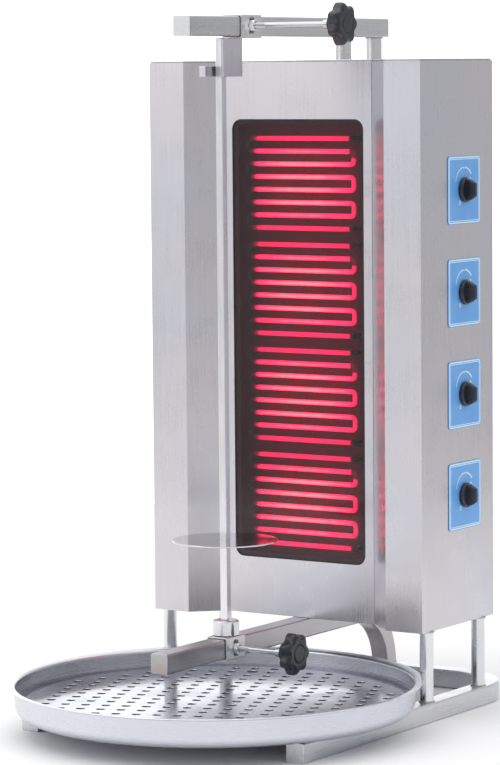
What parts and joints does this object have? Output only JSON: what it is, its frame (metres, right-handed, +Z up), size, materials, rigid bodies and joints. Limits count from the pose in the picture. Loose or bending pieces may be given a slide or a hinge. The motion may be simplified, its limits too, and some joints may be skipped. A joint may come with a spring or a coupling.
{
  "type": "vertical rotisserie broiler",
  "caption": "Electric vertical broiler: a heated cabinet on a tube stand with a hand-turned spit on sliding carriages, clamp screws, zone knobs and a round drip tray.",
  "frame": {"origin": "on the floor under the centre of the whole grill's bounding box", "axes": "+Z up along the spit, -Y towards the cook in front of the heater, +X towards the control side"},
  "size_m": [0.525, 0.6894, 0.9098],
  "materials": {
    "satin_steel": "satin brushed stainless sheet and tube, vertical grain",
    "polished_steel": "bright turned and drawn stainless",
    "welded_steel": "brushed stainless tube with brown heat tint from welding",
    "tray_steel": "spun satin stainless, faint concentric grain",
    "insert_steel": "near-mirror perforated stainless sheet",
    "knob_black": "smooth black moulded plastic",
    "case_black": "matt black moulded plastic",
    "label_blue": "printed blue plate with a pale border and dial arc",
    "dark_glass": "dark heat-resistant glass",
    "seal_cord": "braided glass-fibre seal",
    "heat_board": "dull heat-stained reflector tray",
    "element_glow": "sheathed element glowing red",
    "terminal_ceramic": "unglazed white ceramic",
    "pad_brass": "turned brass"
  },
  "bodies": {
    "cabinet": {"base_frame": "satin_steel", "base_end_cap_left": "satin_steel", "base_end_cap_right": "satin_steel", "lower_post_front_left": "polished_steel", "lower_post_front_right": "polished_steel", "lower_post_rear_left": "polished_steel", "lower_post_rear_right": "polished_steel", "lower_arm": "welded_steel", "lower_arm_cap": "satin_steel", "upper_beam": "satin_steel", "upper_beam_cap_front": "satin_steel", "upper_beam_cap_rear": "satin_steel", "head_post_front": "polished_steel", "head_post_rear": "polished_steel", "post_anchor": "satin_steel", "casing_left": "satin_steel", "casing_right": "satin_steel", "heater_panel": "satin_steel", "roof_cover": "satin_steel", "floor_pan": "satin_steel", "back_cover": "satin_steel", "cable_gland": "case_black", "glass_panel": "dark_glass", "glass_gasket": "seal_cord", "element_carrier": "heat_board", "heater_element_1": "element_glow", "heater_element_2": "element_glow", "heater_element_3": "element_glow", "heater_element_4": "element_glow", "terminal_strip": "terminal_ceramic", "control_plate_1": "label_blue", "control_plate_2": "label_blue", "control_plate_3": "label_blue", "control_plate_4": "label_blue", "regulator_1": "case_black", "regulator_2": "case_black", "regulator_3": "case_black", "regulator_4": "case_black"},
    "lower_carriage": {"lower_sleeve": "polished_steel", "spit_cup": "polished_steel", "lower_clamp_nut": "polished_steel"},
    "lower_pad": {"lower_clamp_pad": "pad_brass"},
    "lower_screw": {"lower_clamp_screw": "polished_steel", "lower_star_knob": "knob_black"},
    "upper_carriage": {"upper_sleeve": "polished_steel", "spit_head_bracket": "satin_steel", "upper_clamp_nut": "polished_steel"},
    "upper_pad": {"upper_clamp_pad": "pad_brass"},
    "upper_screw": {"upper_clamp_screw": "polished_steel", "upper_star_knob": "knob_black"},
    "spit": {"spit_rod": "polished_steel", "disc_pin": "polished_steel"},
    "loading_disc": {"spit_disc": "polished_steel"},
    "drip_pan": {"drip_tray": "tray_steel"},
    "pan_insert": {"tray_insert": "insert_steel"},
    "zone_knob_1": {"control_knob_1": "knob_black"},
    "zone_knob_2": {"control_knob_2": "knob_black"},
    "zone_knob_3": {"control_knob_3": "knob_black"},
    "zone_knob_4": {"control_knob_4": "knob_black"}
  },
  "joints": [
    {"name": "lower_carriage_slide", "type": "slide", "parent": "cabinet", "child": "lower_carriage", "axis": [0, 1, 0], "range_m": [-0.09, 0.09]},
    {"name": "upper_carriage_slide", "type": "slide", "parent": "cabinet", "child": "upper_carriage", "axis": [0, 1, 0], "range_m": [-0.09, 0.09]},
    {"name": "spit_spin", "type": "hinge", "parent": "lower_carriage", "child": "spit", "pos_m": [0, -0.05605, 0.1374], "axis": [0, 0, 1], "continuous": true},
    {"name": "disc_lift", "type": "slide", "parent": "spit", "child": "loading_disc", "axis": [0, 0, 1], "range_m": [0, 0.5]},
    {"name": "tray_slide", "type": "slide", "parent": "cabinet", "child": "drip_pan", "axis": [0, -1, 0], "range_m": [0, 0.39]},
    {"name": "insert_lift", "type": "slide", "parent": "drip_pan", "child": "pan_insert", "axis": [0, 0, 1], "range_m": [0, 0.03]},
    {"name": "lower_pad_travel", "type": "slide", "parent": "lower_carriage", "child": "lower_pad", "axis": [1, 0, 0], "range_m": [0, 0.00375]},
    {"name": "lower_screw_turn", "type": "hinge", "parent": "lower_pad", "child": "lower_screw", "pos_m": [0.0148, -0.05605, 0.1026], "axis": [1, 0, 0], "range_deg": [0, 1080]},
    {"name": "upper_pad_travel", "type": "slide", "parent": "upper_carriage", "child": "upper_pad", "axis": [1, 0, 0], "range_m": [0, 0.00375]},
    {"name": "upper_screw_turn", "type": "hinge", "parent": "upper_pad", "child": "upper_screw", "pos_m": [0.0148, -0.00745, 0.8835], "axis": [1, 0, 0], "range_deg": [0, 1080]},
    {"name": "knob_1_turn", "type": "hinge", "parent": "cabinet", "child": "zone_knob_1", "pos_m": [0.2065, 0.19215, 0.6735], "axis": [-1, 0, 0], "range_deg": [-150, 120]},
    {"name": "knob_2_turn", "type": "hinge", "parent": "cabinet", "child": "zone_knob_2", "pos_m": [0.2065, 0.19215, 0.5428], "axis": [-1, 0, 0], "range_deg": [-150, 120]},
    {"name": "knob_3_turn", "type": "hinge", "parent": "cabinet", "child": "zone_knob_3", "pos_m": [0.2065, 0.19215, 0.4121], "axis": [-1, 0, 0], "range_deg": [-150, 120]},
    {"name": "knob_4_turn", "type": "hinge", "parent": "cabinet", "child": "zone_knob_4", "pos_m": [0.2065, 0.19215, 0.2814], "axis": [-1, 0, 0], "range_deg": [-150, 120]}
  ],
  "couplings": [
    {"joint": "upper_carriage_slide", "follows": "lower_carriage_slide", "ratio": 1},
    {"joint": "lower_screw_turn", "follows": "lower_pad_travel", "rad_per_m": 5026.5},
    {"joint": "upper_screw_turn", "follows": "upper_pad_travel", "rad_per_m": 5026.5}
  ]
}
